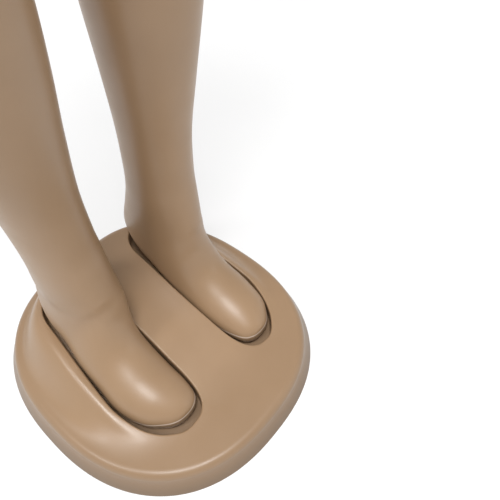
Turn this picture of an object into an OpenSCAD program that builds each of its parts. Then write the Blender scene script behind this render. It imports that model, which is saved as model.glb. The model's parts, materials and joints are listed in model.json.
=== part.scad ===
// Full body display mannequin in separate blow-moulded shells, standing on a
// moulded base with two foot wells. Millimetres. The origin is on the floor below the
// mid-line of the figure, +Z is up, the figure faces -Y and its left side is +X.

/* [Shells] */
// Wall thickness of the moulded body shells
wall = 2.6; // [2:0.2:3.4]
// Thickness of the flat end wall at each seam
end_wall = 6; // [5:0.5:8]
// Width of the seam between two neighbouring shells
seam = 0.6; // [0.4:0.1:1.2]

/* [Base] */
// Half width of the base on the floor
base_a = 166; // [162:1:172]
// Half depth of the base on the floor
base_b = 183; // [178:1:190]
// Height of the base's rim
rim_h = 27; // [25:1:30]
// Rise of the base's top from the rim to the heels
heel_rise = 41; // [38:1:43]
// Wall thickness of the base shell
base_wall = 3; // [2.4:0.2:4]
// Thickness of the steel ballast plate
plate_t = 3; // [2:0.5:3]
// Thickness of the non-slip pads under the plate
pad_t = 2; // [1.5:0.5:2]

/* [Fittings] */
// Bore radius of the shoulder sockets
shoulder_bore = 12; // [10:0.5:14]
// Bore radius of the neck socket
neck_bore = 16; // [14:0.5:18]
// Bore radius of the wrist sockets
wrist_bore = 8; // [7:0.5:9]
// Radial running clearance of every turning plug in its socket
running = 0.06; // [0.02:0.01:0.1]
// Radial clearance of the keyed plugs at the waist and hips
slip = 0.15; // [0.1:0.05:0.3]

/* [Stance] */
// Shift of the left foot towards the mid-line
left_foot_in = 4; // [0:1:5]
// Outward bend of the left foot's toes
left_toes_out = 5; // [0:1:6]
// Narrowing of the left foot well beside the toes
left_well_narrow = 3.5; // [0:0.5:4]
// Shift of the left foot backwards
left_foot_back = 4; // [0:1:5]
// Shift of the right shin towards the mid-line
right_shin_in = 14; // [0:1:15]
// Sideways offset of the base's centre from the figure's mid-line
base_x = -9; // [-12:1:0]

/* [Hidden] */
$fn = 64;

skin = [0.69, 0.58, 0.48];
nylon = [0.90, 0.89, 0.86];
steel = [0.72, 0.73, 0.75];
zinc = [0.62, 0.63, 0.66];
rubber_black = [0.12, 0.12, 0.12];

foot_x = 69;               // centre line of each foot
base_y = 23;               // centre of the base
base_n = 2.36;             // squareness of the base's outline
base_draft = 9;            // lean of the base's wall
base_round = 9;            // rounding of the base's rim
shoulder_c = [138, 50, 1399];
wrist_c = [232, 19, 905];
wrist_tilt = 8;            // lean of the wrist axis
hip_c = [86.5, 47, 885];
hip_tilt = 31;             // slope of the leg's seam
waist_z = 1105;
neck_c = [0, 31.5, 1516];
bolt_y = 98;               // foot bolt, from the origin
insert_z = 57.5;
bolt_seat = 38;            // underside of the boss that the foot bolt pulls on
flange_t = 2.5;            // flange thickness of every fitting
hip_flange = 44;
hip_bore = 20;
hip_body = 28;             // outer radius of the hip socket's tube
hip_screw_r = 37;          // circle of the screws
waist_flange = 52;
waist_bore = 28;
waist_body = 34;
waist_screw_r = 44;
waist_y = 40;
shoulder_flange = 31;
shoulder_screw_r = 25;
neck_flange = 36;
neck_screw_r = 29;
tube_wall = 4.5;           // wall of the neck and shoulder sockets
wrist_flange = 15;
wrist_tube_wall = 3;
key_w = 6;                 // key on the fixed plugs: width and how far it stands out
key_out = 4;
plate_in = base_wall + 6.5;  // gap from the base's outline to the ballast plate's

// ---------------------------------------------------------------- stations
// Each station is a section: centre x, y, z, pitch about X, half width, front
// reach, back reach, and the squareness of the back half (2 is an ellipse).
LEG = [
  [-5, -80.5, 21.5, 90, 3, 3, 3, 2],
  [-4.7, -78, 22, 90, 13.2, 10, 9, 2.5],
  [-3.5, -70, 22.8, 90, 23, 16, 11.8, 2.8],
  [1.4, -52, 25.2, 88, 32, 22.5, 14.2, 2.8],
  [5.2, -22, 30, 85, 36.5, 29, 18, 2.7],
  [4, 10, 39, 78, 36.3, 37, 22, 2.5],
  [2.5, 36, 56, 66, 35.3, 46.5, 26, 2.4],
  [1, 55, 79, 50, 34, 50.5, 44, 2.3],
  [2, 68, 98, 38, 34.5, 54.5, 67, 2.3],
  [2.2, 75, 118, 24, 34.8, 53, 72.5, 2.2],
  [2.5, 78, 142, 11, 35, 50, 55.5, 2.1],
  [3, 77, 170, 2, 34.3, 45, 45.5, 2],
  [4, 76, 200, -2, 33.8, 41.5, 42, 2],
  [5.5, 73, 250, -5, 35, 40, 42.5, 2],
  [7, 66, 310, -6, 40.5, 42.5, 48.5, 2],
  [7, 58, 370, -6, 46.5, 46, 54, 2],
  [7, 52, 420, -6, 50, 48.5, 55, 2],
  [5, 47, 480, -4, 49.5, 50.5, 51, 2],
  [3, 45, 535, -1, 47.5, 53, 48, 2],
  [4, 45, 590, 0, 52, 56, 50, 2],
  [8, 46, 660, 1, 62, 63, 60, 2],
  [12, 47, 740, 2, 70, 71, 70, 2],
  [15, 47, 810, 2, 75.5, 77, 78, 2],
  [17, 47, 860, 2, 79, 82, 86, 2],
  [18, 47, 900, 1, 81, 85, 97, 2],
  [17, 47, 935, 0, 79, 84, 100, 2],
  [13, 47, 970, 0, 74, 80, 93, 2],
  [6, 46, 1005, 0, 60, 68, 72, 2],
  [0, 45, 1025, 0, 30, 36, 36, 2]
];
TORSO = [
  [0, 46, 842, 0, 12, 26, 30, 2],
  [0, 46, 850, 0, 34, 46, 50, 2],
  [0, 46, 870, 0, 70, 70, 74, 2],
  [0, 46, 900, 0, 112, 86, 86, 2],
  [0, 46, 940, 0, 146, 95, 95, 2],
  [0, 45, 980, 0, 152, 96, 97, 2],
  [0, 43, 1020, 0, 141, 91, 90, 2],
  [0, 41, 1060, 0, 122, 84, 77, 2],
  [0, 40, 1105, 0, 109, 78, 70, 2],
  [0, 41, 1150, 0, 112, 82, 74, 2],
  [0, 44, 1200, 0, 122, 89, 82, 2],
  [0, 47, 1250, 0, 129, 94, 86, 2],
  [0, 50, 1300, 0, 133, 95, 88, 2],
  [0, 52, 1345, 0, 132, 89, 88, 2],
  [0, 53, 1385, 0, 124, 76, 82, 2],
  [0, 52, 1415, 0, 108, 63, 72, 2],
  [0, 49, 1440, 0, 83, 53, 60, 2],
  [0, 45, 1460, 0, 63, 48, 51, 2],
  [0, 40, 1482, 0, 51, 46.5, 47, 2],
  [0, 34, 1505, 0, 47.5, 47.5, 47.5, 2],
  [0, 31.5, 1522, 0, 47, 47, 47, 2],
  [0, 31, 1540, 0, 47, 47, 47, 2]
];
// Sideways lofts: x and y trade places, so the sections lie across the arm.
SHOULDER = [
  [50, 45, 1402, -90, 60, 60, 70, 2],
  [50, 80, 1401, -90, 57, 58, 57, 2],
  [50, 110, 1400, -90, 50, 52, 50, 2],
  [50, 138, 1399, -90, 45, 46, 46, 2],
  [50, 150, 1399, -90, 44, 45, 45, 2]
];
ARM = [
  [50, 138, 1399, -90, 45, 46, 46, 2],
  [50, 155, 1394, -73, 45, 45, 44.5, 2],
  [50, 167, 1381, -54, 44, 42, 41, 2],
  [50, 172, 1363, -34, 42.5, 38, 37.5, 2],
  [50, 174, 1340, -16, 41, 35.5, 35.5, 2],
  [50, 176.5, 1308, -8, 40, 34.5, 34, 2],
  [51, 182, 1260, -7, 38.5, 33, 33, 2],
  [53, 190, 1200, -7, 36, 31, 31.5, 2],
  [53, 198, 1140, -7, 33.5, 30, 30.5, 2],
  [48, 205, 1090, -7, 34, 31, 31, 2],
  [39, 214, 1030, -7, 31.5, 28, 28.5, 2],
  [29, 223, 970, -8, 27, 24.5, 24.5, 2],
  [22, 229, 925, -8, 24, 23.2, 23.2, 2],
  [19, 232, 905, -8, 23.5, 23.5, 23.5, 2]
];
HEAD = [
  [0, 31.5, 1516, 0, 47, 47, 47, 2],
  [0, 29, 1536, -5, 47.5, 47, 50, 2],
  [0, 27, 1554, -15, 51, 58, 57, 2],
  [0, 22, 1569, -21, 57, 93, 70, 2],
  [0, 20, 1585, -21, 62, 98, 82, 2],
  [0, 20, 1605, -17, 66.5, 98, 90, 2],
  [0, 21, 1630, -11, 70.5, 97, 93, 2],
  [0, 22, 1658, -4, 73, 96, 94, 2],
  [0, 24, 1685, 3, 73, 93, 90, 2],
  [0, 27, 1708, 8, 68, 83, 81, 2],
  [0, 30, 1727, 11, 57, 67, 66, 2],
  [0, 32, 1740, 11, 42, 48, 47, 2],
  [0, 33, 1746, 8, 24, 27, 27, 2],
  [0, 33, 1749, 4, 3, 3, 3, 2]
];
// The hand hangs from the wrist centre: x is the back of the hand, -y the thumb.
PALM = [
  [0, 0, 0, 0, 23.5, 23.5, 23.5, 2],
  [0, 0, -10, 0, 21.5, 23.8, 23.5, 2],
  [0, 0, -24, 0, 18.5, 27, 25.5, 2],
  [0, 0, -42, 0, 16.5, 33, 29, 2],
  [0.5, 0, -62, 0, 14.5, 36.5, 32.5, 2],
  [1, 0, -80, 0, 12.5, 37, 35, 2],
  [1, 0, -92, 0, 10.5, 35.5, 34.5, 2],
  [0.5, 0, -99, 0, 6, 32, 31, 2],
  [0, 0, -101, 0, 1, 28, 28, 2]
];
THUMB = [
  [3, -14, -18, 25, 9, 10, 10, 2],
  [2, -22, -32, 32, 12, 13, 13, 2],
  [-1, -33, -48, 34, 11.5, 12.5, 12.5, 2],
  [-5, -42, -63, 28, 9.8, 10.5, 10.5, 2],
  [-8, -48, -78, 20, 9.3, 10, 9.5, 2],
  [-10, -52, -92, 14, 8, 8.5, 8.5, 2],
  [-11, -53.5, -100, 10, 5, 5.5, 5.5, 2],
  [-11, -54, -103, 10, 1, 1, 1, 2]
];
// Each finger: knuckle y, knuckle z, length, radius, splay
FINGERS = [
  [-27, -88, 74, 8.4, -0.06],
  [-9.5, -91, 82, 8.6, -0.015],
  [8, -89, 76, 8.2, 0.03],
  [25, -84, 60, 7.3, 0.08]
];
// Soft swellings: centre, reach along each axis, push
BUST = [for (s = [-1, 1]) [[s * 64, -42, 1272], [50, 58, 46], [s * 6, -40, -3]]];
FACE = [
  [[0, -78, 1612], [11, 24, 22], [0, -13, 0]],
  [[0, -76, 1600], [15, 20, 9], [0, -7, 0]],
  [[27, -72, 1636], [17, 26, 12], [0, 6, 0]],
  [[-27, -72, 1636], [17, 26, 12], [0, 6, 0]],
  [[0, -76, 1577], [22, 20, 9], [0, -4, 0]],
  [[0, -70, 1543], [20, 24, 12], [0, -4, 0]]
];
// Foot wells seen from above: y along the foot, inner and outer edge
WELL = [
  [-92, 0, 0], [-91, -11, 7], [-88, -18, 13.5], [-82, -24, 21], [-73, -28.5, 29.5],
  [-60, -31.5, 37], [-44, -33, 42], [-22, -33.5, 45], [2, -34, 43.5], [37, -34, 39.5],
  [75, -33, 34.5], [105, -31, 30.5], [122, -24, 23], [131, -15, 14], [135, -7, 6.5], [136, 0, 0]
];
// Side profile of the wells' floor: y and height
WELL_FLOOR = [[-100, 10.5], [-20, 11], [15, 15.5], [46, 30.5], [83, 42], [120, 50], [150, 53]];

// ---------------------------------------------------------------- functions
function tangent(R, i) =
  i == 0 ? R[1] - R[0] : i == len(R) - 1 ? R[i] - R[i - 1] : (R[i + 1] - R[i - 1]) / 2;

// Smooth curve through the stations R at position t
function station(R, t) =
  let (i = min(floor(t), len(R) - 2), s = t - i)
  (2 * s ^ 3 - 3 * s ^ 2 + 1) * R[i] + (s ^ 3 - 2 * s ^ 2 + s) * tangent(R, i)
  + (3 * s ^ 2 - 2 * s ^ 3) * R[i + 1] + (s ^ 3 - s ^ 2) * tangent(R, i + 1);

function signed_power(v, e) = sign(v) * pow(abs(v), e);

// Point of a section at angle a, drawn in by inset
function ring_point(r, a, inset) =
  let (
    s = sin(a),
    e = 2 / (s < 0 ? 2 : r[7]),
    u = max(r[4] - inset, 0.5) * signed_power(cos(a), e),
    v = max((s < 0 ? r[5] : r[6]) - inset, 0.5) * signed_power(s, e)
  )
  [r[0] + u, r[1] + v * cos(r[3]), r[2] - v * sin(r[3])];

function ramp(k) = let (c = min(max(k, 0), 1)) c * c * (3 - 2 * c);

// Pushes a point by every swelling in B
function sculpt(p, B, i = 0) =
  i == len(B) ? [0, 0, 0] :
  let (d = p - B[i][0], r = B[i][1])
  exp(-(d[0] / r[0]) ^ 2 - (d[1] / r[1]) ^ 2 - (d[2] / r[2]) ^ 2) * B[i][2] + sculpt(p, B, i + 1);

// Stance of a leg: foot shift along x and y, bend of the toes and shin shift along x
LEFT = [-left_foot_in, left_foot_back, left_toes_out, 0];
RIGHT = [0, 0, 0, -right_shin_in];

// Sets the foot and shin in their stance; the foot's part fades out up the ankle, the
// shin's part above the knee
function posed(p, st) =
  let (
    foot = 1 - ramp((p[2] - 50) / 120),
    shin = ramp((p[2] - 52) / 70) * (1 - ramp((p[2] - 200) / 450))
  )
  [
    p[0] + (st[0] + st[2] * ramp((-15 - p[1]) / 60)) * foot + st[3] * shin,
    p[1] + st[1] * foot,
    p[2]
  ];

function swapped(p) = [p[1], p[0], p[2]];

// Stations of a finger bent along an arc: y0, z0, length, radius, splay
function finger_rows(f) =
  let (lead = 5, bend = 38, k = f[2] / (bend * PI / 180))
  [for (s = [0 : 1 / 6 : 1.001])
    let (a = lead + bend * s, r = f[3] * (s < 0.9 ? 1 - 0.2 * s : 0.42))
    [f[0] + f[4] * s * f[2], -k * (cos(lead) - cos(a)), f[1] - k * (sin(a) - sin(lead)), a, r, r, r, 2]];

// Radius of the base's outline at angle a, drawn in by inset
function outline_r(a, inset) =
  (abs(cos(a) / base_a) ^ base_n + abs(sin(a) / base_b) ^ base_n) ^ (-1 / base_n) - inset;

function outline_point(a, inset) =
  [base_x + outline_r(a, inset) * cos(a), base_y + outline_r(a, inset) * sin(a)];

// Height of the base's top: level at the rim, with a hill that rises to the heels
function top_h(x, y) =
  let (
    edge_r = outline_r(atan2(y - base_y, x - base_x), base_draft + base_round),
    rho = norm([x - base_x, y - base_y]) / edge_r,
    hill = heel_rise * ramp((y + 105) / 215),
    spread = 0.72 + 0.08 * ramp((y - 50) / 80),
    saddle = 5 * exp(-(x / 30) ^ 2) * ramp((y + 60) / 150)
  )
  rim_h + (hill - saddle) * (1 - ramp((rho - spread) / (1 - spread)));

// Point of the base's outside at angle a. u runs 0 to 1 up the wall, 1 to 2 over
// the rounded rim and 2 to 3 inwards over the top.
function base_point(a, u, inset) =
  let (
    round = base_round - inset / 2,
    b = 90 * min(max(u - 1, 0), 1),
    drawn_in = base_draft * min(u, 1) + round * (1 - cos(b)) + inset,
    edge_r = outline_r(a, base_draft + round + inset),
    r = u < 2 ? outline_r(a, drawn_in) : edge_r * (3 - u) + 0.5,
    x = base_x + r * cos(a),
    y = base_y + r * sin(a),
    wall_h = rim_h - inset - round
  )
  [x, y, u < 1 ? wall_h * u : u < 2 ? wall_h + round * sin(b) : top_h(x, y) - inset];

// ---------------------------------------------------------------- solids
// Skin over rings of points, closed at both ends
module skin_over(P, around, flip = false) {
  n = len(P) / around;
  sides = [for (i = [0 : n - 2], j = [0 : around - 1])
    let (k = (j + 1) % around, a = i * around, b = a + around)
    each [[a + j, b + k, a + k], [a + j, b + j, b + k]]];
  ends = [[for (j = [0 : around - 1]) j], [for (j = [around - 1 : -1 : 0]) (n - 1) * around + j]];
  faces = concat(sides, ends);
  polyhedron(P, flip ? [for (f = faces) [for (i = [len(f) - 1 : -1 : 0]) f[i]]] : faces, convexity = 8);
}

// Loft through stations R from t0 to t1
module loft(R, t0, t1, along, around, inset = 0, bumps = [], side = false, down = false, stance = []) {
  P = [for (i = [0 : along], j = [0 : around - 1])
    let (
      p = ring_point(station(R, t0 + (t1 - t0) * i / along), 360 * j / around, inset),
      q = p + sculpt(p, bumps),
      r = len(stance) > 0 ? posed(q, stance) : q
    )
    side ? swapped(r) : r];
  skin_over(P, around, down);
}

// Whole leg up to the hip seam
module leg_solid(stance, inset = 0) {
  translate([foot_x, 0, 0])
    if (inset == 0) loft(LEG, 0, 26.5, 37, 24, stance = stance);
    else loft(LEG, 1.7, 26.5, 20, 12, inset, stance = stance);
}

// Rounded top of the leg, inside the pelvis
module leg_root(inset = 0) {
  translate([foot_x, 0, 0])
    if (inset == 0) loft(LEG, 22.3, 28, 9, 22);
    else loft(LEG, 22.3, 27.6, 5, 14, inset);
}

module hips_solid(inset = 0) {
  if (inset == 0) loft(TORSO, 0, 8.4, 12, 30);
  else loft(TORSO, 1, 8.4, 7, 18, inset);
}

module torso_solid(inset = 0) {
  if (inset == 0) loft(TORSO, 7.8, 21, 18, 32, bumps = BUST);
  else loft(TORSO, 7.8, 21, 10, 18, inset, BUST);
  both_sides() loft(SHOULDER, 0, 4, 3, inset == 0 ? 22 : 12, inset, side = true);
}

module hip_frame() translate(hip_c) rotate([0, 180 - hip_tilt, 0]) children();
module shoulder_frame() translate(shoulder_c) rotate([0, 90, 0]) children();
module wrist_frame() translate(wrist_c) rotate([0, -wrist_tilt, 0]) children();
module both_sides() for (s = [0, 1]) mirror([s, 0, 0]) children();

// Everything on the leg's side of the hip seam, from depth d below it
module beyond_hip(d) hip_frame() translate([-900, -400, d]) cube([1800, 800, 1300]);

// ---------------------------------------------------------------- fittings
// Screws on a circle, heads up at z = 0
module screw_ring(r, count, shank = 1.6, length = 9) {
  for (i = [0 : count - 1]) rotate(360 * i / count + 30) translate([r, 0, 0]) {
    translate([0, 0, -1.8]) cylinder(h = 1.8, r1 = shank, r2 = 3.4);
    translate([0, 0, -length]) cylinder(h = length - 1.8, r = shank);
  }
}

// Screw holes on a circle, cut through a flange of thickness t below z = 0
module screw_holes(r, count, t, hole = 1.9) {
  for (i = [0 : count - 1]) rotate(360 * i / count + 30) translate([r, 0, 0]) {
    translate([0, 0, -1.9]) cylinder(h = 2, r1 = hole, r2 = 3.8);
    translate([0, 0, -t - 1]) cylinder(h = t + 2, r = hole);
  }
}

// Round recess and through hole that a flanged fitting needs in an end wall,
// with pilot holes for its screws. The face is z = 0 and the wall lies below.
module fitting_seat(flange_r, body_r, screw_r = 0, count = 0) {
  translate([0, 0, -flange_t - 0.1]) cylinder(h = 20, r = flange_r + 0.4, $fn = 28);
  translate([0, 0, -60]) cylinder(h = 80, r = body_r + 0.7, $fn = 20);
  if (count > 0) for (i = [0 : count - 1]) rotate(360 * i / count + 30)
    translate([screw_r, 0, -end_wall - 4]) cylinder(h = end_wall + 4, r = 2.1, $fn = 6);
}

// Flanged socket with a bore; the face is z = 0 and the tube hangs below
module socket(flange_r, body_r, bore, depth, screw_r = 0, count = 0) {
  difference() {
    union() {
      translate([0, 0, -flange_t]) cylinder(h = flange_t, r = flange_r);
      translate([0, 0, -depth]) cylinder(h = depth, r = body_r);
    }
    translate([0, 0, -depth - 1]) cylinder(h = depth + 2, r = bore);
    if (count > 0) screw_holes(screw_r, count, flange_t);
  }
}

// Turning plug with a snap bead behind the socket; the flange stands on z = 0
module snap_plug(flange_r, shaft, reach, bead, screw_r = 0, count = 0) {
  slot = shaft / 4;
  difference() {
    union() {
      cylinder(h = flange_t, r = flange_r);
      rotate_extrude() polygon([
        [0, 1], [shaft, 1], [shaft, -reach + 3], [bead, -reach + 2.4],
        [bead, -reach + 1.6], [shaft - 1.6, -reach], [0, -reach]
      ]);
    }
    translate([0, 0, -reach - 1]) cylinder(h = reach - 1, r = shaft * 0.55);
    for (a = [0, 90]) rotate(a)
      translate([-bead - 1, -slot / 2, -reach - 1]) cube([2 * bead + 2, slot, 7]);
    if (count > 0) mirror([0, 0, 1]) screw_holes(screw_r, count, flange_t);
  }
}

// Keyed plug that can't turn; the flange stands on z = 0
module keyed_plug(flange_r, shaft, reach, screw_r, count) {
  difference() {
    union() {
      cylinder(h = flange_t, r = flange_r);
      translate([0, 0, -reach]) cylinder(h = reach + 1, r = shaft);
      translate([-key_w / 2, 0, -reach]) cube([key_w, shaft + key_out - slip, reach + 1]);
    }
    translate([0, 0, -reach - 1]) cylinder(h = reach, r = shaft - 5);
    mirror([0, 0, 1]) screw_holes(screw_r, count, flange_t);
  }
}

module keyed_socket(flange_r, body_r, bore, depth, screw_r, count) {
  difference() {
    socket(flange_r, body_r, bore, depth, screw_r, count);
    translate([-key_w / 2 - slip, 0, -depth - 1]) cube([key_w + 2 * slip, bore + key_out, depth + 2]);
  }
}

// ---------------------------------------------------------------- base
module base_dome(inset = 0) {
  around = inset == 0 ? 52 : 32;
  levels = inset == 0 ? [0, 1, 1.3, 1.6, 2, 2.12, 2.26, 2.42, 2.6, 2.8, 3] : [-0.1, 1, 1.5, 2, 2.25, 2.5, 3];
  P = [for (u = levels, j = [0 : around - 1]) base_point(360 * j / around, u, inset)];
  skin_over(P, around);
}

// A foot's own frame, on the figure's left
module set_foot(stance) {
  translate([foot_x + stance[0], stance[1], 0]) children();
}

module foot_frame(left) {
  if (left) set_foot(LEFT) children();
  else mirror([1, 0, 0]) set_foot(RIGHT) children();
}

// Outline of a foot well, its outer side beside the toes drawn in by narrow
module well_outline(narrow) {
  outer = [for (w = WELL) [w[2] - narrow * ramp((-15 - w[0]) / 60), w[0]]];
  inner = [for (i = [len(WELL) - 2 : -1 : 1]) [WELL[i][1], WELL[i][0]]];
  polygon(concat(outer, inner));
}

// Foot well, grown outwards and downwards by grow
module well(left, grow = 0) {
  intersection() {
    linear_extrude(120) offset(delta = grow) well_outline(left ? left_well_narrow : 0);
    rotate([90, 0, 90]) translate([0, -grow, -60]) linear_extrude(120)
      polygon(concat(WELL_FLOOR, [[150, 130], [-100, 130]]));
  }
}

posts = [for (a = [25, 90, 155, 205, 270, 335]) outline_point(a, 27)];

module base_shell() {
  color(skin) resize([0, 0, 0]) difference() {
    union() {
      difference() {
        base_dome();
        base_dome(base_wall);
      }
      intersection() {
        base_dome();
        union() {
          for (left = [true, false]) foot_frame(left) {
            well(left, base_wall);
            translate([0, bolt_y, bolt_seat]) cylinder(h = 14, r = 13, $fn = 16);
          }
          for (p = posts) translate([p[0], p[1], pad_t + plate_t]) cylinder(h = 80, r = 5.5, $fn = 10);
        }
      }
    }
    for (left = [true, false]) foot_frame(left) {
      well(left);
      translate([0, bolt_y, 0]) cylinder(h = 60, r = 4.6, $fn = 12);
    }
    for (p = posts) translate([p[0], p[1], 0]) cylinder(h = 20, r = 1.8, $fn = 6);
  }
}

module base_plate() {
  color(steel) translate([0, 0, pad_t]) difference() {
    linear_extrude(plate_t) polygon([for (a = [0 : 6 : 359]) outline_point(a, plate_in)]);
    for (p = posts) translate([p[0], p[1], -1]) cylinder(h = plate_t + 2, r = 2.2);
  }
}

module plate_screws() {
  color(zinc) for (p = posts) translate([p[0], p[1], pad_t]) {
    translate([0, 0, -1.5]) cylinder(h = 1.5, r = 4);
    cylinder(h = 16, r = 1.5);
  }
}

module non_slip_pads() {
  color(rubber_black) {
    cylinder(h = pad_t, r = 22);
    for (a = [0 : 60 : 359]) let (p = outline_point(a, plate_in + 22)) translate([p[0], p[1], 0])
      cylinder(h = pad_t, r = 14);
  }
}

module foot_bolts() {
  color(zinc) for (left = [true, false]) foot_frame(left) translate([0, bolt_y, bolt_seat - 1.7]) {
    translate([0, 0, -5.3]) cylinder(h = 5.3, r = 7.4, $fn = 6);
    cylinder(h = insert_z + 14 - bolt_seat, r = 3.9);
  }
}

module foot_washers() {
  color(zinc) for (left = [true, false]) foot_frame(left) translate([0, bolt_y, bolt_seat - 1.65])
    difference() {
      cylinder(h = 1.6, r = 9);
      translate([0, 0, -1]) cylinder(h = 4, r = 4.3);
    }
}

module foot_inserts() {
  color(steel) for (left = [true, false]) foot_frame(left) translate([0, bolt_y, insert_z])
    difference() {
      union() {
        cylinder(h = 2.5, r = 10);
        cylinder(h = 18, r = 7);
      }
      translate([0, 0, -1]) cylinder(h = 25, r = 4);
    }
}

// ---------------------------------------------------------------- legs and pelvis
module leg_shell(stance) {
  color(skin) resize([0, 0, 0]) difference() {
    intersection() {
      leg_solid(stance);
      beyond_hip(seam / 2);
    }
    intersection() {
      leg_solid(stance, wall);
      beyond_hip(end_wall);
    }
    hip_frame() mirror([0, 0, 1]) translate([0, 0, -seam / 2]) fitting_seat(hip_flange, 15, hip_screw_r, 3);
    set_foot(stance) translate([0, bolt_y, 30]) cylinder(h = 30, r = 4.6, $fn = 12);
  }
}

module left_leg() leg_shell(LEFT);
module right_leg() mirror([1, 0, 0]) leg_shell(RIGHT);

module hip_plug() {
  color(nylon) hip_frame() translate([0, 0, seam / 2])
    keyed_plug(hip_flange, hip_bore - slip, 38, hip_screw_r, 3);
}

module hip_socket() {
  color(nylon) hip_frame() translate([0, 0, -seam / 2])
    keyed_socket(hip_flange, hip_body, hip_bore, 42, hip_screw_r, 3);
}

module left_hip_plug() hip_plug();
module right_hip_plug() mirror([1, 0, 0]) hip_plug();
module left_hip_socket() hip_socket();
module right_hip_socket() mirror([1, 0, 0]) hip_socket();

module hip_screws() {
  color(zinc) both_sides() hip_frame() {
    translate([0, 0, -seam / 2]) screw_ring(hip_screw_r, 3);
    mirror([0, 0, 1]) translate([0, 0, -seam / 2]) screw_ring(hip_screw_r, 3);
  }
}

module pelvis_shell() {
  color(skin) resize([0, 0, 0]) difference() {
    union() {
      hips_solid();
      both_sides() leg_root();
    }
    both_sides() beyond_hip(-seam / 2);
    translate([-400, -400, waist_z - seam / 2]) cube([800, 800, 900]);
    difference() {
      union() {
        hips_solid(wall);
        both_sides() leg_root(wall);
      }
      both_sides() beyond_hip(-end_wall);
      translate([-400, -400, waist_z - end_wall]) cube([800, 800, 900]);
    }
    both_sides() hip_frame() translate([0, 0, -seam / 2])
      fitting_seat(hip_flange, hip_body, hip_screw_r, 3);
    translate([0, waist_y, waist_z - seam / 2]) fitting_seat(waist_flange, waist_body, waist_screw_r, 4);
  }
}

module waist_socket() {
  color(nylon) translate([0, waist_y, waist_z - seam / 2])
    keyed_socket(waist_flange, waist_body, waist_bore, 40, waist_screw_r, 4);
}

module waist_plug() {
  color(nylon) translate([0, waist_y, waist_z + seam / 2])
    keyed_plug(waist_flange, waist_bore - slip, 36, waist_screw_r, 4);
}

module waist_screws() {
  color(zinc) translate([0, waist_y, waist_z]) {
    translate([0, 0, -seam / 2]) screw_ring(waist_screw_r, 4);
    mirror([0, 0, 1]) translate([0, 0, -seam / 2]) screw_ring(waist_screw_r, 4);
  }
}

// ---------------------------------------------------------------- torso
module torso_shell() {
  side = shoulder_c[0];
  color(skin) resize([0, 0, 0]) difference() {
    intersection() {
      torso_solid();
      translate([-side + seam / 2, -300, waist_z + seam / 2])
        cube([2 * side - seam, 700, neck_c[2] - waist_z - seam]);
    }
    intersection() {
      torso_solid(wall);
      translate([-side + end_wall, -300, waist_z + end_wall])
        cube([2 * (side - end_wall), 700, neck_c[2] - waist_z - 2 * end_wall]);
    }
    translate([0, waist_y, waist_z]) mirror([0, 0, 1]) translate([0, 0, -seam / 2])
      fitting_seat(waist_flange, 20, waist_screw_r, 4);
    both_sides() shoulder_frame() translate([0, 0, -seam / 2])
      fitting_seat(shoulder_flange, shoulder_bore + tube_wall, shoulder_screw_r, 3);
    translate([0, neck_c[1], neck_c[2] - seam / 2])
      fitting_seat(neck_flange, neck_bore + tube_wall, neck_screw_r, 3);
  }
}

module neck_socket() {
  color(nylon) translate(neck_c) translate([0, 0, -seam / 2])
    socket(neck_flange, neck_bore + tube_wall, neck_bore, 34, neck_screw_r, 3);
}

module neck_screws() {
  color(zinc) translate(neck_c) translate([0, 0, -seam / 2]) screw_ring(neck_screw_r, 3);
}

module shoulder_socket() {
  color(nylon) shoulder_frame() translate([0, 0, -seam / 2])
    socket(shoulder_flange, shoulder_bore + tube_wall, shoulder_bore, 30, shoulder_screw_r, 3);
}

module left_shoulder_socket() shoulder_socket();
module right_shoulder_socket() mirror([1, 0, 0]) shoulder_socket();

module shoulder_screws() {
  color(zinc) both_sides() shoulder_frame() translate([0, 0, -seam / 2]) screw_ring(shoulder_screw_r, 3);
}

// ---------------------------------------------------------------- arms and hands
module arm_shell() {
  side = shoulder_c[0];
  color(skin) resize([0, 0, 0]) difference() {
    intersection() {
      loft(ARM, 0, 13, 21, 19, side = true);
      translate([side + seam / 2, -200, 800]) cube([200, 400, 800]);
      wrist_frame() translate([-300, -300, seam / 2]) cube([600, 600, 800]);
    }
    intersection() {
      loft(ARM, 0, 13, 10, 11, wall, side = true);
      translate([side + end_wall, -200, 800]) cube([200, 400, 800]);
      wrist_frame() translate([-300, -300, end_wall]) cube([600, 600, 800]);
    }
    shoulder_frame() mirror([0, 0, 1]) translate([0, 0, -seam / 2])
      fitting_seat(shoulder_flange, 6, shoulder_screw_r, 3);
    wrist_frame() mirror([0, 0, 1]) translate([0, 0, -seam / 2])
      fitting_seat(wrist_flange, wrist_bore + wrist_tube_wall);
  }
}

module left_arm() arm_shell();
module right_arm() mirror([1, 0, 0]) arm_shell();

module shoulder_plug() {
  color(nylon) shoulder_frame() translate([0, 0, seam / 2])
    snap_plug(shoulder_flange, shoulder_bore - running, 36, shoulder_bore + 1.2, shoulder_screw_r, 3);
}

module left_shoulder_plug() shoulder_plug();
module right_shoulder_plug() mirror([1, 0, 0]) shoulder_plug();

module arm_screws() {
  color(zinc) shoulder_frame() mirror([0, 0, 1]) translate([0, 0, -seam / 2])
    screw_ring(shoulder_screw_r, 3);
}

module left_arm_screws() arm_screws();
module right_arm_screws() mirror([1, 0, 0]) arm_screws();

module wrist_socket() {
  color(nylon) wrist_frame() mirror([0, 0, 1]) translate([0, 0, -seam / 2])
    socket(wrist_flange, wrist_bore + wrist_tube_wall, wrist_bore, 22);
}

module left_wrist_socket() wrist_socket();
module right_wrist_socket() mirror([1, 0, 0]) wrist_socket();

module hand_solid() {
  loft(PALM, 0, 8, 9, 16, down = true);
  loft(THUMB, 0, 7, 7, 10, down = true);
  for (f = FINGERS) loft(finger_rows(f), 0, 6, 6, 10, side = true);
}

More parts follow.
